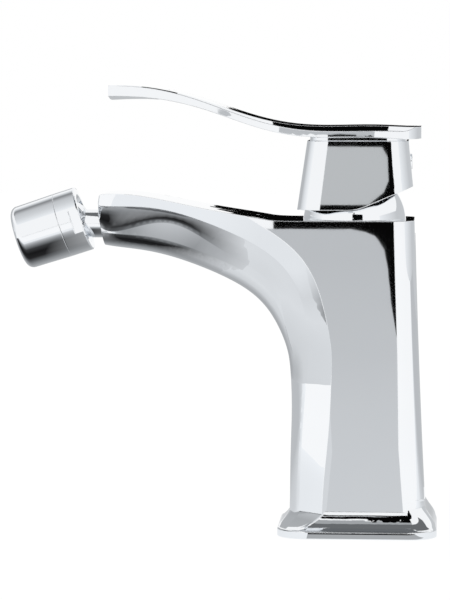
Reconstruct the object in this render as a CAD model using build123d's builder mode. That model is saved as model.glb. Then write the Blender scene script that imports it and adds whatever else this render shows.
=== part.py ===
from build123d import *
from math import cos, radians, sin, sqrt, tan
import os

os.makedirs("parts", exist_ok=True)

# Bidet mixer for one deck hole, with a ceramic cartridge and a swivel nozzle on a ball.
# All lengths are millimetres. The origin is the centre of the foot on the deck, +Z points
# up, the spout reaches along -X, and the mixer is symmetric about the XZ plane.

# Driving dimensions of the casting
column_height = 108.8
column_width = 40.0
foot_length = 55.0
foot_width = 49.0
foot_thickness = 2.8
foot_corner_radius = 10.0
front_setback = 4.5
rear_setback_top = 8.1
rear_setback_middle = 6.5
rear_setback_foot = 3.7
rear_corner_radius = 7.0
nose_depth = 14.0
spout_reach = 68.0
spout_rise = 9.0
flare_height = 10.0

# Driving dimensions of the cartridge and of the lever
cartridge_setforward = 1.5
cartridge_radius = 12.5
pivot_drop = 0.8
stem_length = 24.0
lower_arm = 11.0
lever_angle = 25.0
lever_headroom = 9.2
lever_reach = 84.4
lever_tail = 23.1
lever_rise = 13.8
lever_width = 39.0
blade_thickness = 3.8

# Driving dimensions of the nozzle
aerator_length = 6.15
nozzle_radius = 11.4
nozzle_tilt = 18.0
nozzle_standoff = 10.8
nozzle_drop = 2.0
ball_radius = 8.2
neck_radius = 4.9

# Driving heights of the cartridge's stack, from the seat in the body up to the stem's ball
base_height = 4.7
fixed_disc_height = 3.0
moving_disc_height = 2.8
ball_seat_height = 3.6

# Shared fits and the overrun of every cut
fit_gap = 0.05
running_gap = 0.1
overrun = 2.0

# Reference places that follow from the driving dimensions
column_front = -foot_length / 2 + front_setback
rear_top = foot_length / 2 - rear_setback_top
rear_middle = foot_length / 2 - rear_setback_middle
rear_foot = foot_length / 2 - rear_setback_foot
half_width = column_width / 2
tip_x = column_front - spout_reach
cartridge_x = -cartridge_setforward
pivot_z = column_height - pivot_drop
stem_ball_z = pivot_z - lower_arm
stem_top_z = pivot_z + stem_length
lever_top_height = stem_top_z + lever_headroom
ball_x = tip_x - nozzle_standoff
ball_z = column_height - nozzle_drop

carrier_z = stem_ball_z - ball_seat_height
moving_disc_z = carrier_z - moving_disc_height
fixed_disc_z = moving_disc_z - fixed_disc_height
seat_z = fixed_disc_z - base_height
disc_travel = lower_arm * sin(radians(lever_angle))

cartridge_axis = Axis((cartridge_x, 0, 0), (0, 0, 1))
cartridge_side = Plane(origin=(cartridge_x, 0, 0), x_dir=(1, 0, 0), z_dir=(0, -1, 0))
lever_pivot = Axis((cartridge_x, 0, pivot_z), (0, 1, 0))


def level(height):
    """The horizontal plane on the cartridge's axis at a height above the deck."""
    return Plane(origin=(cartridge_x, 0, height), x_dir=(1, 0, 0), z_dir=(0, 0, 1))


def save(builder, name):
    """Label a finished piece and write its STEP file."""
    builder.part.label = name
    export_step(builder.part, f"parts/{name}.step")


# Body: nose and spout
# One loft runs up the front of the column and out along the underside of the spout. Each
# row gives the place of a section on the under curve, as shares of spout_reach and
# column_height, then the corners of the section from the middle outwards: the end of the
# flat, the waist (u, v), the edge (u, v) and the upper crease (u, v). There u is a share of
# half_width across and v a share of nose_depth into the casting. An arc leads from the
# waist to the edge. It rounds the column's front and hollows the spout's side.
nose_shares = (
    (0.010, -0.030, 0.30, 0.404, 0.068, 0.600, 0.26, 1.000, 0.82),
    (0.009, 0.090, 0.30, 0.406, 0.068, 0.600, 0.26, 1.000, 0.84),
    (0.007, 0.200, 0.30, 0.406, 0.070, 0.600, 0.27, 1.000, 0.88),
    (0.003, 0.305, 0.30, 0.413, 0.075, 0.610, 0.29, 1.000, 0.94),
    (0.000, 0.400, 0.30, 0.411, 0.086, 0.620, 0.33, 1.000, 0.98),
    (0.004, 0.485, 0.30, 0.415, 0.107, 0.650, 0.41, 1.000, 1.03),
    (0.017, 0.565, 0.33, 0.435, 0.140, 0.690, 0.54, 1.000, 1.11),
    (0.066, 0.655, 0.47, 0.575, 0.198, 0.820, 0.76, 1.000, 1.27),
    (0.162, 0.742, 0.59, 0.737, 0.514, 0.905, 1.03, 1.005, 1.55),
    (0.366, 0.822, 0.56, 0.722, 0.600, 0.915, 1.12, 1.000, 1.66),
    (0.569, 0.870, 0.505, 0.673, 0.807, 0.853, 1.13, 0.900, 1.42),
    (0.774, 0.898, 0.345, 0.472, 0.657, 0.770, 1.11, 0.815, 1.37),
    (1.010, 0.920, 0.31, 0.405, 0.555, 0.700, 0.97, 0.725, 1.24),
)
nose_corner_shares = (
    0.28, 0.28, 0.28, 0.28, 0.28, 0.28, 0.29, 0.34, 0.40, 0.42, 0.38, 0.36, 0.31,
)
nose_trim = 7.0
nose_backing = 75.0

under_points = [
    (column_front - row[0] * spout_reach, row[1] * column_height) for row in nose_shares
]
with BuildLine(Plane.XZ) as under_line:
    under_curve = Spline(*under_points)


def round_corner(sketch, x, y, radius):
    """Fillet the corner of a sketch at (x, y) and its mirror image."""
    corners = [
        vertex
        for vertex in sketch.vertices()
        if abs(abs(vertex.X) - abs(x)) + abs(abs(vertex.Y) - abs(y)) < fit_gap / 2
    ]
    fillet(corners, radius=radius)


with BuildPart() as nose:
    for (px, pz), row, corner_share in zip(under_points, nose_shares, nose_corner_shares):
        place = Vector(px, 0, pz)
        station = Plane(origin=place, x_dir=(0, 1, 0), z_dir=-under_curve.tangent_at(place))
        flat_u = row[2] * half_width
        waist, edge, crease = [
            Vector(u * half_width, v * nose_depth) for u, v in (row[3:5], row[5:7], row[7:9])
        ]
        trim = crease + (crease - edge).normalized() * nose_trim
        with BuildSketch(station) as section:
            with BuildLine():
                rise = Line((flat_u, 0), waist)
                TangentArc(waist, edge, tangent=rise % 1)
                Polyline(edge, trim, (trim.X, nose_backing))
                mirror(about=Plane.YZ)
                Line((-flat_u, 0), (flat_u, 0))
                Line((-trim.X, nose_backing), (trim.X, nose_backing))
            make_face()
            round_corner(section, flat_u, 0, corner_share * half_width)
    loft()

# Body: side view
# The top of the spout as shares of spout_reach and spout_rise, and the open side under the
# spout, which only has to clear the nose, as shares of spout_reach and column_height.
top_shares = ((1.003, 0.93), (0.897, 1.00), (0.705, 0.855), (0.388, 0.39), (0.145, 0.09))
flat_top_share = -0.05
tip_slope_share = 0.15
open_side_shares = ((0.10, 0.01), (0.10, 0.55), (0.32, 0.72), (0.69, 0.81), (0.945, 0.845))
rear_middle_share = 0.55
tip_fillet = 1.1

with BuildPart() as blank:
    with BuildSketch(Plane.XZ):
        with BuildLine():
            crest = [
                (column_front - reach * spout_reach, column_height + rise * spout_rise)
                for reach, rise in top_shares
            ]
            spout_top = Spline(
                *crest,
                (column_front - flat_top_share * spout_reach, column_height),
                tangents=[(1, tip_slope_share), (1, 0)],
            )
            flat_top = Line(spout_top @ 1, (rear_top, column_height))
            rear = ThreePointArc(
                flat_top @ 1,
                (rear_middle, rear_middle_share * column_height),
                (rear_foot, foot_thickness / 2),
            )
            Polyline(
                rear @ 1,
                *[
                    (column_front - reach * spout_reach, height * column_height)
                    for reach, height in open_side_shares
                ],
                spout_top @ 0,
            )
        make_face()
    extrude(amount=half_width, both=True)
    long_edges = blank.faces().sort_by(Axis.X)[-1].edges().filter_by(
        lambda edge: abs(edge.center().Y) > half_width / 2
    )
    fillet(long_edges, radius=rear_corner_radius)

# Body: foot and flare
# The flare lofts from the foot's rounded plate into the column. Each row is a height as a
# share of flare_height, then how far the section has grown from column to plate at the
# sides, which are hollow, and at the front and the rear, which bulge.
flare_shares = (
    (1.30, -0.07, -0.07, -0.07),
    (0.90, 0.00, 0.00, 0.05),
    (0.66, 0.08, 0.25, 0.50),
    (0.46, 0.26, 0.60, 0.82),
    (0.28, 0.82, 0.90, 0.97),
)
plate_edge_fillet = 0.5
round_angles = (15.0, 45.0, 75.0)
round_fillet_share = 0.8
column_corner_fillets = (5.6, 1.0, 0.8)
column_nose_shares = ((0.30, 0.0), (0.60, 0.26), (1.0, 0.86))


def flare_outline(sides, front, rear):
    """Corner points (x, y, fillet) of one side of the flare, from nose to rear."""
    reach = foot_corner_radius / cos(radians(round_angles[0]))
    points = []
    for angle, (u, v), radius in zip(round_angles, column_nose_shares, column_corner_fillets):
        plate_x = -foot_length / 2 + foot_corner_radius - reach * cos(radians(angle))
        plate_y = foot_width / 2 - foot_corner_radius + reach * sin(radians(angle))
        column_x = column_front + v * nose_depth
        points.append((
            column_x + (plate_x - column_x) * front,
            u * half_width + (plate_y - u * half_width) * sides,
            radius + (foot_corner_radius * round_fillet_share - radius) * max(sides, 0),
        ))
    rear_x = rear_foot + (foot_length / 2 - rear_foot) * rear
    rear_y = half_width + (foot_width / 2 - half_width) * sides
    rear_fillet = rear_corner_radius + (foot_corner_radius - rear_corner_radius) * sides
    return points + [(rear_x, rear_y, rear_fillet)]


with BuildPart() as flare:
    for height_share, *grown in flare_shares:
        outline = flare_outline(*grown)
        with BuildSketch(Plane.XY.offset(height_share * flare_height)) as ring:
            with BuildLine():
                near = [(x, -y) for x, y, radius in outline]
                far = [(x, y) for x, y, radius in reversed(outline)]
                Polyline(*near, *far, close=True)
            make_face()
            for x, y, radius in outline:
                round_corner(ring, x, y, radius)
    loft()

# Body: ports, cartridge bore, waterway and underside
bore_radius = cartridge_radius + running_gap
thread_radius = 14.0
thread_depth = 5.8
inlet_setback = 0.6
inlet_y = 5.6
inlet_radius = 1.9
outlet_setback = 4.2
outlet_radius = 2.2
hose_y = 7.2
hose_thread_radius = 4.5
hose_thread_depth = 12.0
hollow_depth = 52.0
hollow_length = 32.0
hollow_width = 27.0
hollow_corner = 5.0
stud_x = 11.0
stud_radius = 3.35
stud_depth = 14.0
passage_radius = 2.8
passage_bend = 12.0
passage_drop = 7.0
nipple_hole_depth = 10.4
groove_inset = 2.3
groove_width = 1.8
groove_depth = 2.0
inlet_x = cartridge_x - inlet_setback
outlet_x = cartridge_x + outlet_setback
passage_z = seat_z - passage_drop

# Knees of the waterway: shares of spout_reach, and of the height from its start to the tip
knee_shares = ((-0.106, 0.02), (0.2625, 0.70), (0.543, 0.96))

with BuildPart() as plate:
    with BuildSketch():
        RectangleRounded(foot_length, foot_width, foot_corner_radius)
    extrude(amount=foot_thickness)
    fillet(plate.edges().group_by(Axis.Z)[-1], radius=plate_edge_fillet)

with BuildPart() as body:
    add(blank.part)
    add(nose.part, mode=Mode.INTERSECT)
    fillet(body.faces().sort_by(Axis.X)[0].edges(), radius=tip_fillet)
    add(flare.part)
    add(plate.part)
    with BuildSketch(level(seat_z)):
        Circle(bore_radius)
    extrude(amount=column_height + overrun - seat_z, mode=Mode.SUBTRACT)
    with BuildSketch(level(column_height - thread_depth)):
        Circle(thread_radius)
    extrude(amount=thread_depth + overrun, mode=Mode.SUBTRACT)
    with BuildSketch():
        RectangleRounded(hollow_length, hollow_width, hollow_corner)
    extrude(amount=hollow_depth, mode=Mode.SUBTRACT)
    with BuildSketch(Plane.XY.offset(hollow_depth)):
        with Locations((inlet_x, hose_y), (inlet_x, -hose_y)):
            Circle(hose_thread_radius)
    extrude(amount=hose_thread_depth, mode=Mode.SUBTRACT)
    with BuildSketch(Plane.XY.offset(hollow_depth)):
        with Locations((inlet_x, inlet_y), (inlet_x, -inlet_y)):
            Circle(inlet_radius)
    extrude(amount=seat_z - hollow_depth, mode=Mode.SUBTRACT)
    with BuildSketch(Plane.XY.offset(hollow_depth)):
        with Locations((stud_x, 0)):
            Circle(stud_radius)
    extrude(amount=stud_depth, mode=Mode.SUBTRACT)
    with BuildSketch(Plane.XY.offset(passage_z - passage_radius)):
        with Locations((outlet_x, 0)):
            Circle(outlet_radius)
    extrude(amount=passage_drop + passage_radius, mode=Mode.SUBTRACT)
    with BuildLine(Plane.XZ) as waterway:
        knees = [
            (column_front - reach * spout_reach, passage_z + rise * (ball_z - passage_z))
            for reach, rise in knee_shares
        ]
        FilletPolyline(
            (outlet_x, passage_z),
            *knees,
            (tip_x + nipple_hole_depth - overrun, ball_z),
            radius=passage_bend,
        )
    waterway_wire = waterway.wires()[0]
    with BuildSketch(Plane(origin=waterway_wire @ 0, z_dir=waterway_wire % 0)):
        Circle(passage_radius)
    sweep(path=waterway_wire, mode=Mode.SUBTRACT)
    with BuildSketch(Plane(origin=(tip_x - overrun, 0, ball_z), x_dir=(0, 1, 0), z_dir=(1, 0, 0))):
        Circle(neck_radius + fit_gap)
    extrude(amount=overrun + nipple_hole_depth, mode=Mode.SUBTRACT)
    with BuildSketch():
        RectangleRounded(
            foot_length - 2 * groove_inset,
            foot_width - 2 * groove_inset,
            foot_corner_radius - groove_inset,
        )
        RectangleRounded(
            foot_length - 2 * (groove_inset + groove_width),
            foot_width - 2 * (groove_inset + groove_width),
            foot_corner_radius - groove_inset - groove_width,
            mode=Mode.SUBTRACT,
        )
    extrude(amount=groove_depth, mode=Mode.SUBTRACT)
save(body, "body")

# Base gasket
# Rubber ring, flush in the groove under the foot.
with BuildPart() as base_gasket:
    with BuildSketch():
        RectangleRounded(
            foot_length - 2 * (groove_inset + fit_gap),
            foot_width - 2 * (groove_inset + fit_gap),
            foot_corner_radius - groove_inset - fit_gap,
        )
        RectangleRounded(
            foot_length - 2 * (groove_inset + groove_width - fit_gap),
            foot_width - 2 * (groove_inset + groove_width - fit_gap),
            foot_corner_radius - groove_inset - groove_width + fit_gap,
            mode=Mode.SUBTRACT,
        )
    extrude(amount=groove_depth - fit_gap)
save(base_gasket, "base_gasket")

# Cartridge housing
# Plastic can round the stack. The nut bears on its shoulder, and its neck guides the sleeve.
housing_wall = 1.1
neck_outer_radius = 10.0
neck_wall = 1.1
neck_top_rise = 2.2
shoulder_thickness = 1.5
shoulder_z = column_height - thread_depth
housing_inner = cartridge_radius - housing_wall
neck_inner = neck_outer_radius - neck_wall
neck_top = column_height + neck_top_rise

with BuildPart() as cartridge_housing:
    with BuildSketch(cartridge_side):
        with BuildLine():
            Polyline(
                (housing_inner, seat_z),
                (cartridge_radius, seat_z),
                (cartridge_radius, shoulder_z),
                (neck_outer_radius, shoulder_z),
                (neck_outer_radius, neck_top),
                (neck_inner, neck_top),
                (neck_inner, shoulder_z - shoulder_thickness),
                (housing_inner, shoulder_z - shoulder_thickness),
                close=True,
            )
        make_face()
    revolve(axis=cartridge_axis)
save(cartridge_housing, "cartridge_housing")

# Cartridge base
# Plastic floor of the cartridge with three ports, pocketed for seals above and below.
seal_inner = 2.3
seal_outer = 3.2
seal_height = 1.2
base_radius = housing_inner - fit_gap
port_places = ((-inlet_setback, inlet_y), (-inlet_setback, -inlet_y), (outlet_setback, 0))

with BuildPart() as cartridge_base:
    with BuildSketch(level(seat_z)):
        Circle(base_radius)
        with Locations(port_places[0], port_places[1]):
            Circle(inlet_radius, mode=Mode.SUBTRACT)
        with Locations(port_places[2]):
            Circle(outlet_radius, mode=Mode.SUBTRACT)
    extrude(amount=base_height)
    with BuildSketch(level(seat_z), level(fixed_disc_z - seal_height)):
        with Locations(*port_places):
            Circle(seal_outer)
    extrude(amount=seal_height, mode=Mode.SUBTRACT)
save(cartridge_base, "cartridge_base")

# Port seals
# Three equal rubber rings under the base, pressed on the seat in the body.
with BuildPart() as port_seals:
    with BuildSketch(level(seat_z)):
        with Locations(*port_places):
            Circle(seal_outer - fit_gap)
            Circle(seal_inner, mode=Mode.SUBTRACT)
    extrude(amount=seal_height - fit_gap)
save(port_seals, "port_seals")

# Disc seals
# Three equal rubber rings between the base and the fixed disc.
with BuildPart() as disc_seals:
    with BuildSketch(level(fixed_disc_z - seal_height + fit_gap)):
        with Locations(*port_places):
            Circle(seal_outer - fit_gap)
            Circle(seal_inner, mode=Mode.SUBTRACT)
    extrude(amount=seal_height - fit_gap)
save(disc_seals, "disc_seals")

# Fixed disc
# Ceramic disc with the hot and cold ports and the mixed-water port.
with BuildPart() as fixed_disc:
    with BuildSketch(level(fixed_disc_z)):
        Circle(base_radius)
        with Locations(port_places[0], port_places[1]):
            Circle(inlet_radius, mode=Mode.SUBTRACT)
        with Locations(port_places[2]):
            Circle(outlet_radius, mode=Mode.SUBTRACT)
    extrude(amount=moving_disc_z - fixed_disc_z - fit_gap)
save(fixed_disc, "fixed_disc")

# Moving disc
# Ceramic disc that covers the inlets while the lever is down. The chamber in its underside
# reaches them as it slides forward, and joins them to the outlet.
moving_disc_radius = 8.3
chamber_depth = 1.4
chamber_length = 4.2
chamber_width = 12.4
chamber_corner = 1.5
chamber_lobe_radius = 2.6
disc_rest_x = disc_travel / 2

with BuildPart() as moving_disc:
    with BuildSketch(level(moving_disc_z)):
        with Locations((disc_rest_x, 0)):
            Circle(moving_disc_radius)
    extrude(amount=moving_disc_height)
    with BuildSketch(level(moving_disc_z)):
        with Locations((disc_rest_x + chamber_length / 2, 0)):
            RectangleRounded(chamber_length, chamber_width, chamber_corner)
        with Locations((disc_rest_x + chamber_length, 0)):
            Circle(chamber_lobe_radius)
    extrude(amount=chamber_depth, mode=Mode.SUBTRACT)
save(moving_disc, "moving_disc")

# Disc carrier
# Plastic cap on the moving disc with a pocket in which the stem's ball drives it.
carrier_height = 5.0
carrier_radius = 8.6
stem_ball_radius = 2.2
pocket_gap = 0.15
pocket_side_gap = 0.5
pocket_floor_gap = 0.3

with BuildPart() as disc_carrier:
    with BuildSketch(level(carrier_z)):
        with Locations((disc_rest_x, 0)):
            Circle(carrier_radius)
    extrude(amount=carrier_height)
    with BuildSketch(level(stem_ball_z - stem_ball_radius - pocket_floor_gap)):
        Rectangle(
            2 * (stem_ball_radius + pocket_gap),
            2 * (stem_ball_radius + pocket_side_gap),
        )
    extrude(amount=carrier_height, mode=Mode.SUBTRACT)
save(disc_carrier, "disc_carrier")

# Rotating sleeve
# Plastic turret in the housing's neck. The lever turns it for the temperature.
sleeve_lift = 0.2
flange_radius = 11.1
flange_height = 2.7
sleeve_rise = 4.7
stem_width = 6.9
stem_depth = 7.0
slot_play = 0.2
slot_end_play = 0.4
pin_radius = 1.25
pin_end_gap = 0.2
sleeve_z = carrier_z + carrier_height + sleeve_lift
sleeve_radius = neck_inner - running_gap
sleeve_top = column_height + sleeve_rise
slot_reach = (
    stem_depth / 2 / cos(radians(lever_angle))
    + (sleeve_top - pivot_z) * tan(radians(lever_angle))
    + slot_end_play
)

with BuildPart() as rotating_sleeve:
    with BuildSketch(level(sleeve_z)):
        Circle(sleeve_radius)
    extrude(amount=sleeve_top - sleeve_z)
    with BuildSketch(level(sleeve_z)):
        Circle(flange_radius)
    extrude(amount=flange_height)
    with BuildSketch(level(sleeve_z)):
        Rectangle(2 * slot_reach, stem_width + slot_play)
    extrude(amount=sleeve_top - sleeve_z, mode=Mode.SUBTRACT)
    with BuildSketch(Plane(origin=(cartridge_x, 0, pivot_z), x_dir=(1, 0, 0), z_dir=(0, 1, 0))):
        Circle(pin_radius)
    extrude(amount=sleeve_radius, both=True, mode=Mode.SUBTRACT)
save(rotating_sleeve, "rotating_sleeve")

# Pivot pin
# Steel pin across the sleeve, on which the stem tilts.
with BuildPart() as pivot_pin:
    with BuildSketch(Plane(origin=(cartridge_x, 0, pivot_z), x_dir=(1, 0, 0), z_dir=(0, 1, 0))):
        Circle(pin_radius)
    extrude(amount=sqrt(sleeve_radius**2 - pin_radius**2) - pin_end_gap, both=True)
save(pivot_pin, "pivot_pin")

# Stem
# Steel lever of the cartridge: square above for the handle, a ball below for the carrier.
square_drop = 4.0
arm_radius = 1.9

with BuildPart() as stem:
    with BuildSketch(level(pivot_z - square_drop)):
        Rectangle(stem_depth, stem_width)
    extrude(amount=square_drop + stem_length)
    with BuildSketch(level(stem_ball_z)):
        Circle(arm_radius)
    extrude(amount=lower_arm - square_drop)
    with Locations((cartridge_x, 0, stem_ball_z)):
        Sphere(stem_ball_radius)
    with BuildSketch(Plane(origin=(cartridge_x, 0, pivot_z), x_dir=(1, 0, 0), z_dir=(0, 1, 0))):
        Circle(pin_radius + fit_gap)
    extrude(amount=stem_width, both=True, mode=Mode.SUBTRACT)
save(stem, "stem")

# Retaining nut
# Brass nut that holds the cartridge down, notched on top for a pin spanner.
nut_wall_gap = 0.1
nut_rise = 3.5
notch_width = 3.0
notch_depth = 2.0
notch_count = 4
nut_outer = thread_radius - nut_wall_gap
nut_inner = neck_outer_radius + nut_wall_gap
nut_top = column_height + nut_rise

with BuildPart() as retaining_nut:
    with BuildSketch(level(shoulder_z)):
        Circle(nut_outer)
        Circle(nut_inner, mode=Mode.SUBTRACT)
    extrude(amount=nut_top - shoulder_z)
    with BuildSketch(level(nut_top - notch_depth)):
        with PolarLocations((nut_outer + nut_inner) / 2, notch_count):
            Rectangle(2 * (nut_outer - nut_inner), notch_width)
    extrude(amount=notch_depth, mode=Mode.SUBTRACT)
save(retaining_nut, "retaining_nut")

# Dome cap
# Chromed brass dome on the nut. Its outside is a ball about the lever's pivot, so the
# handle's skirt sweeps over it with an even gap.
dome_radius = 17.8
dome_wall = 1.4
dome_opening = 11.5
collar_height = 3.2
dome_base = column_height - pivot_z
dome_inner = dome_radius - dome_wall
collar_inner = thread_radius
collar_top = dome_base + collar_height


def on_ball(radius, across):
    """Height on a ball of a radius at a distance from its vertical axis."""
    return sqrt(radius**2 - across**2)


with BuildPart() as dome_cap:
    with BuildSketch(Plane(origin=(cartridge_x, 0, pivot_z), x_dir=(1, 0, 0), z_dir=(0, -1, 0))):
        with BuildLine():
            dome_outside = RadiusArc(
                (on_ball(dome_radius, dome_base), dome_base),
                (dome_opening, on_ball(dome_radius, dome_opening)),
                -dome_radius,
            )
            dome_inside = RadiusArc(
                (dome_opening, on_ball(dome_inner, dome_opening)),
                (on_ball(dome_inner, collar_top), collar_top),
                dome_inner,
            )
            Line(dome_outside @ 1, dome_inside @ 0)
            Polyline(
                dome_inside @ 1,
                (collar_inner, collar_top),
                (collar_inner, dome_base),
                dome_outside @ 0,
            )
        make_face()
    revolve(axis=cartridge_axis)
save(dome_cap, "dome_cap")

# Lever handle
# One chromed casting: a tapering skirt round the dome, a narrow neck and the long blade.
skirt_hem = 3.6
skirt_length = 40.7
skirt_width = 40.0
skirt_corner = 8.0
skirt_shift = 0.85
skirt_lean = 0.5
skirt_taper_length = 5.8
skirt_taper_width = 4.0
skirt_taper_corner = 0.6
skirt_wall = 1.8
skirt_top_drop = 5.2
cavity_drop = 11.2
neck_inset = 1.0
rear_rise = 8.5
rear_rise_run = 20.1
rear_rise_blend = 15.0
boss_radius = 7.0
boss_drop = 16.0
socket_play = 0.1
socket_rise = 0.5
screw_drop = 12.6
screw_radius = 2.5
plug_radius = 2.7
plug_length = 2.2
plug_stand = 0.4
skirt_z = column_height + skirt_hem
skirt_top_z = lever_top_height - skirt_top_drop
cavity_top_z = lever_top_height - cavity_drop
boss_z = lever_top_height - boss_drop
screw_z = lever_top_height - screw_drop
blade_length = lever_reach + lever_tail
blade_tail_x = cartridge_x + lever_tail
skirt_rear_x = cartridge_x + skirt_shift + skirt_length / 2
screw_rear_x = skirt_rear_x - (skirt_taper_length / 2 - skirt_lean) * (screw_z - skirt_z) / (
    skirt_top_z - skirt_z
)
plug_x = screw_rear_x + plug_stand - plug_length

# Blade sections: place along the blade, half width and rise of the top face, as shares of
# the blade's length, half of lever_width and lever_rise; then the thickness, the bevel's
# drop and width and the crown of the underside, as shares of blade_thickness.
blade_shares = (
    (1.060, 0.677, 0.955, 1.00, 0.09, 0.13, 0.30),
    (0.953, 0.700, 1.000, 1.00, 0.09, 0.13, 0.30),
    (0.822, 0.728, 0.890, 0.92, 0.10, 0.16, 0.10),
    (0.673, 0.780, 0.572, 0.80, 0.16, 0.24, 0.02),
    (0.523, 0.862, 0.196, 0.86, 0.26, 0.38, 0.01),
    (0.365, 0.954, 0.000, 0.97, 0.40, 0.55, 0.01),
    (0.206, 1.000, 0.000, 1.00, 0.47, 0.68, 0.01),
    (-0.031, 1.000, 0.000, 1.00, 0.47, 0.68, 0.01),
)
blade_tip_corner = 5.0
blade_tail_corner = 8.5


def skirt_section(height, inset):
    """Length, width, corner and centre of the skirt's outline at a height, inset by a wall."""
    risen = (height - skirt_z) / (skirt_top_z - skirt_z)
    return (
        skirt_length - risen * skirt_taper_length - 2 * inset,
        skirt_width - risen * skirt_taper_width - 2 * inset,
        skirt_corner - risen * skirt_taper_corner - inset,
        skirt_shift + risen * skirt_lean,
    )


with BuildPart() as lever_handle:
    for along, width_share, rise, thick, bevel_drop, bevel_width, crown in blade_shares:
        section_place = Plane(
            origin=(blade_tail_x - along * blade_length, 0, lever_top_height + rise * lever_rise),
            x_dir=(0, 1, 0),
            z_dir=(1, 0, 0),
        )
        side_y = width_share * lever_width / 2
        with BuildSketch(section_place):
            with BuildLine():
                Polyline(
                    (-side_y, -thick * blade_thickness),
                    (-side_y, -bevel_drop * blade_thickness),
                    (-side_y + bevel_width * blade_thickness, 0),
                    (side_y - bevel_width * blade_thickness, 0),
                    (side_y, -bevel_drop * blade_thickness),
                    (side_y, -thick * blade_thickness),
                )
                ThreePointArc(
                    (side_y, -thick * blade_thickness),
                    (0, -(thick + crown) * blade_thickness),
                    (-side_y, -thick * blade_thickness),
                )
            make_face()
    loft()
    with BuildSketch() as blade_plan:
        with Locations((blade_tail_x - blade_length / 2, 0)):
            Rectangle(blade_length, lever_width)
        plan_corners = blade_plan.vertices()
        fillet(plan_corners.group_by(Axis.X)[-1], radius=blade_tail_corner)
        fillet(plan_corners.group_by(Axis.X)[0], radius=blade_tip_corner)
    extrude(amount=lever_top_height + 2 * lever_rise, mode=Mode.INTERSECT)

    # Skirt and neck, added under the blade
    for height in (skirt_z, skirt_top_z):
        length, width, corner, centre = skirt_section(height, 0)
        with BuildSketch(level(height)):
            with Locations((centre, 0)):
                RectangleRounded(length, width, corner)
    loft()
    length, width, corner, centre = skirt_section(skirt_top_z, neck_inset)
    with BuildSketch(level(skirt_top_z)):
        with Locations((centre, 0)):
            RectangleRounded(length, width, corner)
    extrude(amount=skirt_top_drop - blade_thickness / 2)

    # Hollow round the dome, with the boss for the stem
    for height in (skirt_z, cavity_top_z):
        length, width, corner, centre = skirt_section(height, skirt_wall)
        with BuildSketch(level(height)):
            with Locations((centre, 0)):
                RectangleRounded(length, width, corner)
    loft(mode=Mode.SUBTRACT)
    with BuildSketch(level(boss_z)):
        Circle(boss_radius)
    extrude(amount=cavity_top_z - boss_z + fit_gap)
    with BuildSketch(level(boss_z)):
        Rectangle(stem_depth + 2 * socket_play, stem_width + 2 * socket_play)
    extrude(amount=stem_top_z + socket_rise - boss_z, mode=Mode.SUBTRACT)

    # Screw hole from the rear, widened in the wall for the plug
    with BuildSketch(Plane(origin=(cartridge_x, 0, screw_z), x_dir=(0, 1, 0), z_dir=(1, 0, 0))):
        Circle(screw_radius + fit_gap)
    extrude(amount=skirt_length / 2, mode=Mode.SUBTRACT)
    with BuildSketch(Plane(origin=(plug_x, 0, screw_z), x_dir=(0, 1, 0), z_dir=(1, 0, 0))):
        Circle(plug_radius + fit_gap)
    extrude(amount=plug_length + overrun, mode=Mode.SUBTRACT)

    # Rising hem at the rear, which clears the body when the lever is up
    with BuildSketch(Plane.XZ) as hem_cut:
        with BuildLine():
            FilletPolyline(
                (skirt_rear_x - skirt_length - overrun, skirt_z),
                (skirt_rear_x - rear_rise_run, skirt_z),
                (skirt_rear_x + overrun, skirt_z + rear_rise * (1 + overrun / rear_rise_run)),
                radius=rear_rise_blend,
            )
            Polyline(
                (skirt_rear_x + overrun, skirt_z + rear_rise * (1 + overrun / rear_rise_run)),
                (skirt_rear_x + overrun, skirt_z - overrun),
                (skirt_rear_x - skirt_length - overrun, skirt_z - overrun),
                (skirt_rear_x - skirt_length - overrun, skirt_z),
            )
        make_face()
    extrude(amount=skirt_width, both=True, mode=Mode.SUBTRACT)
save(lever_handle, "lever_handle")

# Handle screw
# Set screw with a hexagon socket that grips the stem.
screw_length = 8.0
socket_radius = 1.45
socket_depth = 2.5
screw_x = cartridge_x + stem_depth / 2 + fit_gap

with BuildPart() as handle_screw:
    with BuildSketch(Plane(origin=(screw_x, 0, screw_z), x_dir=(0, 1, 0), z_dir=(1, 0, 0))):
        Circle(screw_radius)
    extrude(amount=screw_length)
    with BuildSketch(
        Plane(origin=(screw_x + screw_length - socket_depth, 0, screw_z), x_dir=(0, 1, 0), z_dir=(1, 0, 0))
    ):
        RegularPolygon(socket_radius, side_count=6)
    extrude(amount=socket_depth, mode=Mode.SUBTRACT)
save(handle_screw, "handle_screw")

# Screw plug
# Small domed plug that closes the screw hole in the rear of the handle.
plug_edge = 0.3

with BuildPart() as screw_plug:
    with BuildSketch(Plane(origin=(plug_x, 0, screw_z), x_dir=(0, 1, 0), z_dir=(1, 0, 0))):
        Circle(plug_radius)
    extrude(amount=plug_length)
    fillet(screw_plug.faces().sort_by(Axis.X)[-1].edges(), radius=plug_edge)
save(screw_plug, "screw_plug")

# Nozzle frame
# The nozzle's own axis runs from the ball's centre towards the outlet. Its pieces are turned
# profiles (s, r): s along the axis from the ball's centre, r away from it.
tilt = radians(nozzle_tilt)
ball_centre = Vector(ball_x, 0, ball_z)
outward = Vector(-cos(tilt), 0, -sin(tilt))
nozzle_axis = Axis(ball_centre, outward)
nozzle_side = Plane(origin=ball_centre, x_dir=outward, z_dir=(0, -1, 0))


def across(reach):
    """Plane square to the nozzle's axis at a distance from the ball's centre."""
    return Plane(origin=ball_centre + outward * reach, x_dir=(0, 1, 0), z_dir=outward)


# Ball nipple
# Chromed ball on a hollow spigot, screwed into the spout's tip.
nipple_bore = 2.2
nipple_end_gap = 1.0
ring_groove_setback = 4.0
ring_groove_width = 1.8
ring_groove_depth = 0.7
spigot_x = tip_x + nipple_hole_depth - nipple_end_gap
groove_x = spigot_x - ring_groove_setback

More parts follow.
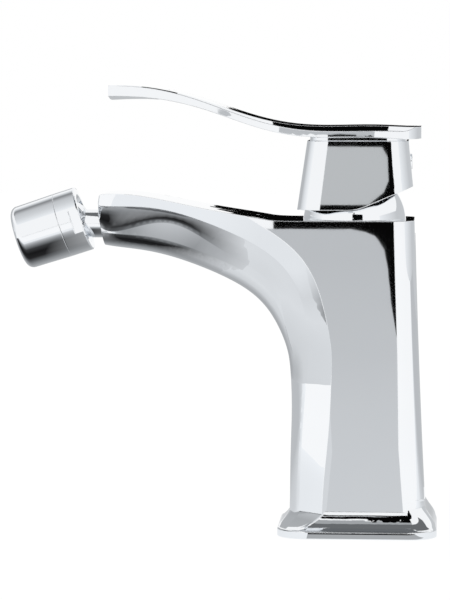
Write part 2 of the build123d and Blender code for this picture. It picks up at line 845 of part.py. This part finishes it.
with BuildPart() as ball_nipple:
    with Locations(ball_centre):
        Sphere(ball_radius)
    with BuildSketch(Plane(origin=ball_centre, x_dir=(0, 1, 0), z_dir=(1, 0, 0))):
        Circle(neck_radius)
    extrude(amount=spigot_x - ball_x)
    with BuildSketch(Plane(origin=(groove_x, 0, ball_z), x_dir=(0, 1, 0), z_dir=(1, 0, 0))):
        Circle(neck_radius)
        Circle(neck_radius - ring_groove_depth, mode=Mode.SUBTRACT)
    extrude(amount=ring_groove_width, mode=Mode.SUBTRACT)
    with BuildSketch(
        Plane(origin=(ball_x - ball_radius - overrun, 0, ball_z), x_dir=(0, 1, 0), z_dir=(1, 0, 0))
    ):
        Circle(nipple_bore)
    extrude(amount=spigot_x - ball_x + ball_radius + 2 * overrun, mode=Mode.SUBTRACT)
save(ball_nipple, "ball_nipple")

# Nipple ring
# Rubber ring in the spigot's groove.
with BuildPart() as nipple_ring:
    with BuildSketch(Plane(origin=(groove_x + fit_gap, 0, ball_z), x_dir=(0, 1, 0), z_dir=(1, 0, 0))):
        Circle(neck_radius)
        Circle(neck_radius - ring_groove_depth + fit_gap, mode=Mode.SUBTRACT)
    extrude(amount=ring_groove_width - 2 * fit_gap)
save(nipple_ring, "nipple_ring")

# Slip ring
# Plastic ring on the rear half of the ball, between it and the swivel nut.
swivel_gap = 0.15
slip_ring_wall = 0.7
slip_ring_angles = (72.0, 100.0)
slip_inner = ball_radius + swivel_gap
slip_outer = slip_inner + slip_ring_wall


def polar(radius, angle):
    """Point of a profile on a ball of a radius, at an angle from its rear pole."""
    return (-radius * cos(radians(angle)), radius * sin(radians(angle)))


with BuildPart() as slip_ring:
    with BuildSketch(nozzle_side):
        with BuildLine():
            ring_outside = ThreePointArc(
                polar(slip_outer, slip_ring_angles[0]),
                (0, slip_outer),
                polar(slip_outer, slip_ring_angles[1]),
            )
            ring_inside = ThreePointArc(
                polar(slip_inner, slip_ring_angles[1]),
                (0, slip_inner),
                polar(slip_inner, slip_ring_angles[0]),
            )
            Line(ring_outside @ 1, ring_inside @ 0)
            Line(ring_inside @ 1, ring_outside @ 0)
        make_face()
    revolve(axis=nozzle_axis)
save(slip_ring, "slip_ring")

# Swivel nut
# Chromed nut round the ball, with two spanner flats and a thread for the shell.
nut_back = 6.2
nut_mouth_radius = 8.65
nut_lip_angle = 59.0
nut_edge = 0.4
seam_reach = 1.6
thread_length = 4.0
nozzle_thread_radius = 10.0
nut_throat = 8.6
flat_offset = 10.6
flat_length = 3.4
nut_cavity = slip_outer + swivel_gap
thread_end = seam_reach + thread_length

with BuildPart() as swivel_nut:
    with BuildSketch(nozzle_side):
        with BuildLine():
            cavity = ThreePointArc(
                (on_ball(nut_cavity, nut_throat), nut_throat),
                (0, nut_cavity),
                polar(nut_cavity, nut_lip_angle),
            )
            Polyline(
                cavity @ 1,
                (-nut_back, nut_mouth_radius),
                (-nut_back, nozzle_radius - nut_edge),
                (-nut_back + nut_edge, nozzle_radius),
                (seam_reach, nozzle_radius),
                (seam_reach, nozzle_thread_radius),
                (thread_end, nozzle_thread_radius),
                (thread_end, nut_throat),
                cavity @ 0,
            )
        make_face()
    revolve(axis=nozzle_axis)
    with BuildSketch(across(-nut_back)):
        Circle(nozzle_radius + overrun)
        Rectangle(2 * flat_offset, 2 * (nozzle_radius + overrun), mode=Mode.SUBTRACT)
    extrude(amount=flat_length, mode=Mode.SUBTRACT)
save(swivel_nut, "swivel_nut")

# Ball seal
# Rubber ring that the shell presses against the front of the ball.
ball_seal_length = 3.6
ball_seal_inner = 5.0
shell_bore = 9.65
seal_start = thread_end + running_gap
seal_end = seal_start + ball_seal_length

with BuildPart() as ball_seal:
    with BuildSketch(nozzle_side):
        with BuildLine():
            seal_contact = RadiusArc(
                (seal_start, on_ball(slip_inner, seal_start)),
                (on_ball(slip_inner, ball_seal_inner), ball_seal_inner),
                slip_inner,
            )
            Polyline(
                seal_contact @ 1,
                (seal_end, ball_seal_inner),
                (seal_end, shell_bore - swivel_gap),
                (seal_start, shell_bore - swivel_gap),
                seal_contact @ 0,
            )
        make_face()
    revolve(axis=nozzle_axis)
save(ball_seal, "ball_seal")

# Aerator gasket
# Rubber washer between the ball seal and the aerator.
gasket_length = 1.4
gasket_inner = 6.8
aerator_radius = 9.5
gasket_end = seal_end + gasket_length

with BuildPart() as aerator_gasket:
    with BuildSketch(across(seal_end + fit_gap)):
        Circle(aerator_radius)
        Circle(gasket_inner, mode=Mode.SUBTRACT)
    extrude(amount=gasket_length - fit_gap)
save(aerator_gasket, "aerator_gasket")

# Nozzle shell
# Chromed sleeve screwed on the nut, with a lip that holds the aerator.
shell_taper = 0.3
shell_front_fillet = 2.6
lip_radius = 8.2
lip_thickness = 1.0
aerator_end = gasket_end + aerator_length
lip_start = aerator_end + fit_gap
shell_front = lip_start + lip_thickness

with BuildPart() as nozzle_shell:
    with BuildSketch(nozzle_side):
        with BuildLine():
            Polyline(
                (seam_reach + fit_gap, nozzle_thread_radius + fit_gap),
                (seam_reach + fit_gap, nozzle_radius),
                (shell_front, nozzle_radius - shell_taper),
                (shell_front, lip_radius),
                (lip_start, lip_radius),
                (lip_start, shell_bore),
                (seal_start, shell_bore),
                (seal_start, nozzle_thread_radius + fit_gap),
                close=True,
            )
        make_face()
    revolve(axis=nozzle_axis)
    front_rim = nozzle_shell.edges().filter_by(GeomType.CIRCLE).group_by(nozzle_axis)[-1]
    fillet(front_rim.sort_by(SortBy.RADIUS)[-1], radius=shell_front_fillet)
save(nozzle_shell, "nozzle_shell")

# Aerator housing
# Plastic cup behind the lip. Its floor lets the water out through rings of round holes.
aerator_wall = 1.0
aerator_floor = 1.2
jet_radius = 0.7
jet_ring_radii = (2.3, 4.5, 6.7)
jet_counts = (6, 12, 18)
cup_radius = aerator_radius - aerator_wall

with BuildPart() as aerator_housing:
    with BuildSketch(across(gasket_end)):
        Circle(aerator_radius)
    extrude(amount=aerator_end - gasket_end)
    with BuildSketch(across(gasket_end)):
        Circle(cup_radius)
    extrude(amount=aerator_end - aerator_floor - gasket_end, mode=Mode.SUBTRACT)
    with BuildSketch(across(aerator_end - aerator_floor)):
        Circle(jet_radius)
        for ring_radius, count in zip(jet_ring_radii, jet_counts):
            with PolarLocations(ring_radius, count):
                Circle(jet_radius)
    extrude(amount=aerator_floor, mode=Mode.SUBTRACT)
save(aerator_housing, "aerator_housing")

# Flow regulator
# Plastic disc at the cup's mouth with one ring of slots round a cone.
regulator_thickness = 1.2
regulator_holes = 8
regulator_hole_radius = 0.9
regulator_ring_radius = 5.6
regulator_cone_radius = 3.0
regulator_cone_length = 1.0

with BuildPart() as flow_regulator:
    with BuildSketch(across(gasket_end + fit_gap)):
        Circle(cup_radius - fit_gap)
        with PolarLocations(regulator_ring_radius, regulator_holes):
            Circle(regulator_hole_radius, mode=Mode.SUBTRACT)
    extrude(amount=regulator_thickness)
    with BuildSketch(across(gasket_end + fit_gap + regulator_thickness)):
        Circle(regulator_cone_radius)
    extrude(amount=regulator_cone_length)
save(flow_regulator, "flow_regulator")

# Aerator screen
# Perforated disc on the cup's floor that breaks up the jets.
screen_thickness = 0.8
screen_hole_radius = 0.8
screen_ring_radii = (3.0, 6.0)
screen_hole_counts = (6, 12)
screen_start = aerator_end - aerator_floor - screen_thickness

with BuildPart() as aerator_screen:
    with BuildSketch(across(screen_start)):
        Circle(cup_radius - fit_gap)
        for ring_radius, count in zip(screen_ring_radii, screen_hole_counts):
            with PolarLocations(ring_radius, count):
                Circle(screen_hole_radius, mode=Mode.SUBTRACT)
    extrude(amount=screen_thickness - fit_gap)
save(aerator_screen, "aerator_screen")
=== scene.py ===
import math

import bpy
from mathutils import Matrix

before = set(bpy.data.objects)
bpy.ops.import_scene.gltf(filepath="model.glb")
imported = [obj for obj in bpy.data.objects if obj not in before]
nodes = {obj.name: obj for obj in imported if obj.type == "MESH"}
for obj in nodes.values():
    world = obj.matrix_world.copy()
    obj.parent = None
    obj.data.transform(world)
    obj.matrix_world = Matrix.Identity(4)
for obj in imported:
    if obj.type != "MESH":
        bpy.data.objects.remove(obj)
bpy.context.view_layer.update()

scene = bpy.context.scene
scene.view_settings.view_transform = "Standard"


# Camera.
# A long lens a metre away, a little above the blade and turned four degrees to the right,
# as the product shot was taken. The small shift places the mixer in the frame.
camera_data = bpy.data.cameras.new("shot_camera")
camera = bpy.data.objects.new("shot_camera", camera_data)
scene.collection.objects.link(camera)
camera.location = (0.0245, -1.015, 0.1568)
camera.rotation_euler = (math.radians(90 - 4.34), 0, math.radians(4.04))
camera_data.lens = 175.34
camera_data.sensor_width = 36
camera_data.shift_x = 0.0027
camera_data.shift_y = 0.0028
scene.camera = camera


# White studio tent.
# The world is the tent's even white cloth. The camera and the metal see it at full white,
# and it lights everything else a little lower, so that pale plastics don't clip.
def linear(colour):
    """Linear RGBA of an sRGB hex colour."""
    values = [int(colour[i:i + 2], 16) / 255 for i in (1, 3, 5)]
    return tuple(v / 12.92 if v <= 0.04045 else ((v + 0.055) / 1.055) ** 2.4 for v in values) + (1,)


def add(tree, kind, settings=None, **links):
    """Add a node of a kind, set its values and sockets, and link the sockets that are given."""
    node = tree.nodes.new(kind)
    for name, value in (settings or {}).items():
        if name in node.inputs:
            node.inputs[name].default_value = value
        else:
            setattr(node, name, value)
    for name, source in links.items():
        tree.links.new(source, node.inputs[name.replace("_", " ")])
    return node


def seen_directly(tree):
    """One for rays of the camera and of reflections, and zero for all others."""
    ray = add(tree, "ShaderNodeLightPath")
    seen = add(tree, "ShaderNodeMath", {"operation": "MAXIMUM"})
    tree.links.new(ray.outputs["Is Camera Ray"], seen.inputs[0])
    tree.links.new(ray.outputs["Is Glossy Ray"], seen.inputs[1])
    through = add(tree, "ShaderNodeMath", {"operation": "MAXIMUM"})
    tree.links.new(seen.outputs[0], through.inputs[0])
    tree.links.new(ray.outputs["Is Transmission Ray"], through.inputs[1])
    return through.outputs[0]


world = bpy.data.worlds.new("white_tent")
scene.world = world
world.use_nodes = True
tree = world.node_tree
tree.nodes.clear()
strength = add(tree, "ShaderNodeMapRange", {"To Min": 0.8, "To Max": 1.0}, Value=seen_directly(tree))
cloth = add(tree, "ShaderNodeBackground", {"Color": linear("#FFFFFF")}, Strength=strength.outputs[0])
add(tree, "ShaderNodeOutputWorld", Surface=cloth.outputs[0])


# Floor.
# A plain white table, seen as white as the tent, with only a faint shadow of the foot.
bpy.ops.object.select_all(action="DESELECT")
bpy.ops.mesh.primitive_plane_add(size=6, location=(0, 0, -0.0002))
floor = bpy.context.object
floor.name = "floor"
floor_finish = bpy.data.materials.new("white_table")
floor_finish.use_nodes = True
tree = floor_finish.node_tree
tree.nodes.clear()
matt = add(tree, "ShaderNodeBsdfDiffuse", {"Color": linear("#FAFAFA")})
bright = add(tree, "ShaderNodeEmission", {"Color": linear("#FFFFFF"), "Strength": 1.04})
share = add(tree, "ShaderNodeMapRange", {"To Min": 0.0, "To Max": 0.9}, Value=seen_directly(tree))
table = add(tree, "ShaderNodeMixShader", Fac=share.outputs[0])
tree.links.new(matt.outputs[0], table.inputs[1])
tree.links.new(bright.outputs[0], table.inputs[2])
add(tree, "ShaderNodeOutputMaterial", Surface=table.outputs[0])
floor.data.materials.append(floor_finish)


# Studio cards.
# Glowing cards and flags that only the polished metal sees. Their greys are painted brightness and
# painted shade, set in their glow and not lit by the lamp. They give the chrome its greys and
# its black lines, as the flags round a product do. Each is a flat outline of corner points.
def blend_of(tree, factor, first, second):
    """Colour that runs from one to another with a factor. Each is a hex colour or an output."""
    mix = add(tree, "ShaderNodeMix", {"data_type": "RGBA"})
    tree.links.new(factor, mix.inputs[0])
    sockets = [socket for socket in mix.inputs if socket.type == "RGBA"]
    for socket, colour in zip(sockets, (first, second)):
        if isinstance(colour, str):
            socket.default_value = linear(colour)
        else:
            tree.links.new(colour, socket)
    return mix.outputs[2]


def graded(tree, along, stops):
    """Greys that run along a coordinate. The stops are pairs of a place and a hex colour."""
    start, end = stops[0][0], stops[-1][0]
    run = add(tree, "ShaderNodeMapRange", {"From Min": start, "From Max": end}, Value=along)
    grade = add(tree, "ShaderNodeValToRGB", Fac=run.outputs[0])
    points = grade.color_ramp.elements
    points[0].color, points[1].color = linear(stops[0][1]), linear(stops[-1][1])
    for place, grey in stops[1:-1]:
        points.new((place - start) / (end - start)).color = linear(grey)
    return grade.outputs["Color"]


def card(name, corners, *stops, far_stops=None, fade=None):
    """A card seen only in reflections. Its stops are one grey, or pairs of a place along Y and a grey.
    Far stops take over along X, from the first place of the fade to the second."""
    bpy.ops.object.select_all(action="DESELECT")
    bpy.ops.mesh.primitive_circle_add(vertices=len(corners), radius=1, fill_type="NGON")
    sheet = bpy.context.object
    sheet.name = name
    for vertex, corner in zip(sheet.data.vertices, corners):
        vertex.co = corner
    finish = bpy.data.materials.new(name)
    finish.use_nodes = True
    tree = finish.node_tree
    tree.nodes.clear()
    glow = add(tree, "ShaderNodeEmission", {"Strength": 1.0})
    if len(stops) == 1:
        glow.inputs["Color"].default_value = linear(stops[0])
    else:
        place = add(tree, "ShaderNodeTexCoord")
        axes = add(tree, "ShaderNodeSeparateXYZ", Vector=place.outputs["Object"])
        colour = graded(tree, axes.outputs["Y"], stops)
        if far_stops:
            share = add(tree, "ShaderNodeMapRange", {"From Min": fade[0], "From Max": fade[1]},
                        Value=axes.outputs["X"])
            colour = blend_of(tree, share.outputs[0], colour,
                              graded(tree, axes.outputs["Y"], far_stops))
        tree.links.new(colour, glow.inputs["Color"])
    add(tree, "ShaderNodeOutputMaterial", Surface=glow.outputs[0])
    sheet.data.materials.append(finish)
    sheet.visible_camera = False
    sheet.visible_diffuse = False
    sheet.visible_shadow = False
    sheet.visible_transmission = False


def rectangle(left, right, low, high):
    """Outline of a rectangle."""
    return (left, low), (right, low), (right, high), (left, high)


def level(height, *outline):
    """Corners of a card that lies level at a height, from its outline in X and Y."""
    return [(x, y, height) for x, y in outline]


def across(y, *outline):
    """Corners of a card that stands across the table, from its outline in X and Z."""
    return [(x, y, z) for x, z in outline]


def lengthwise(x, *outline):
    """Corners of a card that stands along the table's side, from its outline in Y and Z."""
    return [(x, y, z) for y, z in outline]


black = "#070707"
front_y = -2.1


# Papers on the table.
# Grey paper in front of the flank with a lighter strip on it, black paper that bounds it on the
# right, and a low black flag at its far end. A narrow grey and black pair lies close to the foot.
card("table_card", level(0.0002, (-0.17, front_y), (0.03, front_y), (0.0052, -0.80), (0.0118, -0.26),
                         (0.016, -0.05), (-0.03, -0.05), (-0.05, -0.45), (-0.08, -1.1)),
     (-1.6, "#C3C5C7"), (-0.7, "#C8CACC"), (-0.4, "#CED0D2"), (-0.08, "#D3D5D7"))
card("light_card", level(0.0004, (-0.05, -0.05), (-0.0118, -0.05), (-0.016, -0.25), (-0.03, -0.60),
                         (-0.10, -0.60)), "#DCDEE0")
card("corner_flag", level(0.0006, (-0.16, front_y), (0.03, front_y), (0.03, -0.80), (0.0049, -0.798),
                          (0.0026, -0.89), (-0.0027, -1.105), (-0.0095, -1.434), (-0.0172, -1.72),
                          (-0.0259, -1.888), (-0.031, -1.96), (-0.0427, -2.037), (-0.059, -2.095)), black)
card("low_flag", across(front_y, *rectangle(-0.14, 0.03, 0.0, 0.03)), black)
card("foot_card", level(0.0003, *rectangle(-0.017, 0.026, -0.034, -0.024)), "#AEB0B2")
card("foot_flag", level(0.0003, *rectangle(-0.017, 0.026, -0.045, -0.034)), black)


# Rear of the table and walls.
# The table and the pale walls grow greyer towards the rear. A narrow black flag behind draws the
# dark lines along the upper edges of the blade and the body.
rear_y = 1.0
wall_top = 0.65
left_x, right_x = -1.8, 2.4
card("back_floor", level(0.0002, *rectangle(-1.4, 3.0, -0.05, 2.0)),
     (-0.05, "#FAFCFE"), (0.0, "#EEF0F2"), (0.03, "#D8DADC"), (0.12, "#C2C4C6"), (1.0, "#C2C4C6"))
card("back_flag", across(2.0, (-0.23, 0.165), (0.02, 0.165), (0.02, 0.245), (-0.162, 0.245),
                         (-0.162, 0.225), (-0.23, 0.225)), black)
card("back_left_wall", across(rear_y, *rectangle(left_x, -0.35, 0.0, wall_top)), "#BCBEC0")
card("back_right_wall", across(rear_y, *rectangle(0.35, right_x, 0.0, wall_top)), "#CBCDCF")
card("left_wall", lengthwise(left_x, *rectangle(-0.5, rear_y, 0.0, wall_top)),
     (-0.5, "#FDFEFF"), (0.2, "#E8EAEC"), (1.0, "#C2C4C6"))
card("right_wall", lengthwise(right_x, *rectangle(-1.4, rear_y, 0.0, wall_top)),
     (-1.4, "#F4F6F8"), (0.3, "#D8DADC"), (1.0, "#CBCDCF"))


# Cards under the spout.
# The hollow side of the spout sees a raised card that is dark in the middle and pale towards the
# column. A low strip stands on it and hides its dark part from the column's front.
card_z = 0.05
pale_x = -0.066
throat_greys = ((-0.10, "#ECEEF0"), (-0.07, "#DCDEE0"), (-0.045, "#E4E6E8"), (-0.013, "#D8DADC"),
                (0.0, "#C2C4C6"), (0.02, "#AEB0B2"), (0.05, "#B2B4B6"))
card("spout_card", level(card_z, *rectangle(-0.30, -0.042, -0.16, 0.12)),
     (-0.125, "#F4F6F8"), (-0.108, "#C8CACC"), (-0.085, "#9C9EA0"), (-0.066, "#727476"),
     (-0.052, "#3C3D3E"), (-0.03, "#1A1A1B"), (-0.010, "#262627"), (0.004, "#5E6062"),
     (0.018, "#888A8C"), (0.043, "#A6A8AA"), (0.10, "#B6B8BA"),
     far_stops=throat_greys, fade=(-0.102, pale_x))
card("throat_card", lengthwise(pale_x, *rectangle(-0.12, 0.08, card_z, 0.0565)), *throat_greys)


# Cards across the front.
# The skirt sees a grey card in a black surround. The blade's side sees a grey strip with a black
# one under it, and the foot's flare sees the tall flag and the grey card above it.
card("housing_card", across(front_y, (-0.13, 0.379), (-0.04, 0.379), (-0.024, 0.392), (-0.019, 0.405),
                            (-0.020, 0.430), (-0.026, 0.4405), (-0.13, 0.4425)), "#C1C3C4")
card("side_flag", across(front_y - 0.01, *rectangle(-0.13, 0.75, 0.30, 0.75)), black)
card("high_flag", across(front_y, (-0.10, 0.443), (0.05, 0.443), (0.05, 1.5), (-0.03, 1.5),
                         (-0.045, 0.70), (-0.068, 0.66), (-0.10, 0.47)), black)
card("blade_card", across(front_y, *rectangle(-0.60, 0.06, 0.0975, 0.12)), "#C2C4C6")
card("blade_flag", across(front_y, *rectangle(-0.33, 0.06, 0.070, 0.0975)), black)
card("upper_card", across(front_y, (-0.25, 1.0), (-0.0452, 1.0), (-0.0302, 1.501), (0.15, 1.501),
                          (0.15, 2.6), (-0.25, 2.6)), "#A8AAAC")


# Cards overhead.
# A dark card over the mixer and to its right shades what faces up, with a black flag for the
# blade's bevel. The card on the left darkens towards the rear and is pale again at its end.
ceiling_z = 1.1
card("top_card", level(ceiling_z, (-0.22, -1.0), (1.4, -1.0), (1.4, 0.6), (0.2, 0.6), (0.2, 0.22),
                       (-0.22, 0.22)), "#6C6E70")
card("top_flag", level(ceiling_z, *rectangle(-0.10, 0.06, 0.25, 0.50)), black)
card("left_top_card", level(ceiling_z, *rectangle(-1.2, -0.40, -0.9, 1.0)),
     (-0.9, "#F6F8FA"), (-0.3, "#D8DADC"), (0.08, "#C8CACC"), (0.35, "#9E9FA1"), (0.46, "#8A8C8E"),
     (0.62, "#B0B2B4"), (0.8, "#DEE0E2"), (1.0, "#E3E5E7"))


# Lamp.
# One large softbox above and in front gives the plastics some form.
softbox_data = bpy.data.lights.new("softbox", "AREA")
softbox_data.shape = "SQUARE"
softbox_data.size = 0.8
softbox_data.energy = 4
softbox = bpy.data.objects.new("softbox", softbox_data)
softbox.location = (-0.5, -0.8, 1.1)
softbox.rotation_euler = (math.radians(35), 0, math.radians(-30))
softbox.visible_glossy = False
scene.collection.objects.link(softbox)


# Body casting.
# Low-lead brass, cast, polished by hand and plated with bright chrome. The plate is a blue-white
# mirror, with a faint haze where the polish varies and edges that the buffing has rounded.
def pattern(tree, size_mm, detail=2.0, stretch=(1, 1, 1)):
    """Noise in object space whose patches have a real size in millimetres, longer where stretched."""
    place = add(tree, "ShaderNodeTexCoord")
    turned = add(tree, "ShaderNodeMapping", {"Scale": stretch}, Vector=place.outputs["Object"])
    noise = add(tree, "ShaderNodeTexNoise", {"Scale": 1000 / size_mm, "Detail": detail},
                Vector=turned.outputs[0])
    return noise.outputs["Fac"]


def finish_for(name):
    """A new material with its tree and its shader."""
    finish = bpy.data.materials.new(name)
    finish.use_nodes = True
    return finish, finish.node_tree, finish.node_tree.nodes["Principled BSDF"]


def dress(finish, *names):
    """Give CAD nodes a finish on all their material slots."""
    for name in names:
        for material_slot in nodes[name].material_slots:
            material_slot.material = finish


chrome, tree, plate = finish_for("bright_chrome_plate")
plate.inputs["Metallic"].default_value = 1.0
plate_tint = blend_of(tree, pattern(tree, 22), "#F1F3F6", "#F4F6F8")
tree.links.new(plate_tint, plate.inputs["Base Color"])
polish = add(tree, "ShaderNodeMapRange", {"To Min": 0.006, "To Max": 0.018}, Value=pattern(tree, 9))
tree.links.new(polish.outputs[0], plate.inputs["Roughness"])
buffed_edge = add(tree, "ShaderNodeBevel", {"samples": 6, "Radius": 0.00035})
skin = add(tree, "ShaderNodeBump", {"Strength": 0.01, "Distance": 0.0002},
           Height=pattern(tree, 14, 1.0), Normal=buffed_edge.outputs[0])
tree.links.new(skin.outputs[0], plate.inputs["Normal"])
dress(chrome, "body")


# Base gasket.
# EPDM rubber ring, moulded, in the groove under the foot. It is black and matt, with a grey
# bloom that comes out of the rubber in fine specks.
epdm, tree, shell = finish_for("moulded_epdm_rubber")
bloom = pattern(tree, 1.5)
tree.links.new(blend_of(tree, bloom, "#141414", "#262625"), shell.inputs["Base Color"])
matt_skin = add(tree, "ShaderNodeMapRange", {"To Min": 0.52, "To Max": 0.72}, Value=bloom)
tree.links.new(matt_skin.outputs[0], shell.inputs["Roughness"])
grain = add(tree, "ShaderNodeBump", {"Strength": 0.15, "Distance": 0.00005}, Height=pattern(tree, 0.3))
tree.links.new(grain.outputs[0], shell.inputs["Normal"])
shell.inputs["IOR"].default_value = 1.52
dress(epdm, "base_gasket")


# Seals under and over the cartridge's base.
# The same black EPDM, as rings pressed between the seat, the base and the fixed disc.
dress(epdm, "port_seals", "disc_seals")


# Cartridge base and housing.
# Glass-filled acetal, injection moulded in a spark-eroded tool. It is a milky grey with a fine
# even grain and a low sheen.
def moulded(name, colour, shade, grain_mm, sheen):
    """A moulded plastic of a colour with its deeper shade, the grain of its tool and its roughness."""
    finish, tree, shell = finish_for(name)
    tree.links.new(blend_of(tree, pattern(tree, 6), colour, shade), shell.inputs["Base Color"])
    worn = add(tree, "ShaderNodeMapRange", {"To Min": sheen - 0.05, "To Max": sheen + 0.07},
               Value=pattern(tree, 4))
    tree.links.new(worn.outputs[0], shell.inputs["Roughness"])
    tool_grain = add(tree, "ShaderNodeBump", {"Strength": 0.2, "Distance": 0.00004},
                     Height=pattern(tree, grain_mm))
    tree.links.new(tool_grain.outputs[0], shell.inputs["Normal"])
    shell.inputs["IOR"].default_value = 1.48
    return finish


dress(moulded("glass_filled_acetal", "#C9C9C3", "#BFC0BB", 0.25, 0.42),
      "cartridge_base", "cartridge_housing")


# Ceramic discs.
# Alumina, pressed, fired and lapped flat until the two faces hold water between them. It is a warm
# white, glossy on the lapped faces, with the faint grain of the fired powder.
alumina, tree, shell = finish_for("lapped_alumina")
tree.links.new(blend_of(tree, pattern(tree, 0.8), "#EEECE4", "#E5E2D8"), shell.inputs["Base Color"])
lapped = add(tree, "ShaderNodeMapRange", {"To Min": 0.12, "To Max": 0.24}, Value=pattern(tree, 1.2))
tree.links.new(lapped.outputs[0], shell.inputs["Roughness"])
fired = add(tree, "ShaderNodeBump", {"Strength": 0.08, "Distance": 0.00003}, Height=pattern(tree, 0.4))
tree.links.new(fired.outputs[0], shell.inputs["Normal"])
shell.inputs["IOR"].default_value = 1.76
dress(alumina, "fixed_disc", "moving_disc")


# Disc carrier and rotating sleeve.
# Plain acetal, moulded, slippery and a little translucent, so it looks whiter than the housing.
dress(moulded("plain_acetal", "#E4E2DA", "#DAD8CF", 0.2, 0.32), "disc_carrier", "rotating_sleeve")


# Pivot pin, stem and set screw.
# Stainless steel bar, ground on the pin and milled on the stem's square. The cutter leaves fine
# lines along the bar, drawn here 0.15 mm apart so that they show.
stainless, tree, bar = finish_for("milled_stainless_steel")
bar.inputs["Metallic"].default_value = 1.0
lines = pattern(tree, 0.15, 1.0, (1, 1, 0.05))
tree.links.new(blend_of(tree, lines, "#B9B8B4", "#CFCFCC"), bar.inputs["Base Color"])
cut = add(tree, "ShaderNodeMapRange", {"To Min": 0.22, "To Max": 0.38}, Value=lines)
tree.links.new(cut.outputs[0], bar.inputs["Roughness"])
furrow = add(tree, "ShaderNodeBump", {"Strength": 0.1, "Distance": 0.00003}, Height=lines)
tree.links.new(furrow.outputs[0], bar.inputs["Normal"])
dress(stainless, "pivot_pin", "stem", "handle_screw")


# Retaining nut.
# Turned free-cutting brass, left bare because the dome hides it. The lathe's feed marks run
# round it, and the yellow dulls a little towards brown between them.
brass, tree, turned = finish_for("turned_brass")
feed_mm = 0.3
turned.inputs["Metallic"].default_value = 1.0
feed = pattern(tree, feed_mm, 1.0, (0.04, 0.04, 1))
tree.links.new(blend_of(tree, feed, "#C6A25E", "#D9BB78"), turned.inputs["Base Color"])
dull = add(tree, "ShaderNodeMapRange", {"To Min": 0.24, "To Max": 0.42}, Value=pattern(tree, 5))
tree.links.new(dull.outputs[0], turned.inputs["Roughness"])
marks = add(tree, "ShaderNodeBump", {"Strength": 0.15, "Distance": 0.00004}, Height=feed)
tree.links.new(marks.outputs[0], turned.inputs["Normal"])
dress(brass, "retaining_nut")


# Dome cap.
# Deep-drawn brass, polished and chromed like the body, pushed over the nut.
dress(chrome, "dome_cap")


# Lever handle and its plug.
# One zinc casting for skirt and blade, and a small turned plug behind, both chromed with the body
# so that the plate matches.
dress(chrome, "lever_handle", "screw_plug")


# Ball spigot and its ring.
# Turned brass, chromed where it shows, screwed into the spout's tip against a rubber ring.
dress(chrome, "ball_nipple")
dress(epdm, "nipple_ring")


# Swivel ring and seal.
# A slippery white ring of PTFE on the ball, and a rubber ring in front of it.
dress(moulded("moulded_ptfe", "#EFEEE8", "#E6E5DE", 0.5, 0.38), "slip_ring")
dress(epdm, "ball_seal")


# Nozzle.
# Nut and shell are turned brass, polished and chromed.
dress(chrome, "swivel_nut", "nozzle_shell")


# Aerator.
# A washer, a regulator, a screen and a cup with jet holes, pushed in from the front in that order.
# The cup is grey acetal and the inner two are white.
dress(epdm, "aerator_gasket")
dress(moulded("white_acetal", "#E9E8E2", "#DEDDD6", 0.2, 0.34), "flow_regulator", "aerator_screen")
dress(moulded("grey_acetal", "#B9BBBB", "#AFB1B1", 0.25, 0.36), "aerator_housing")
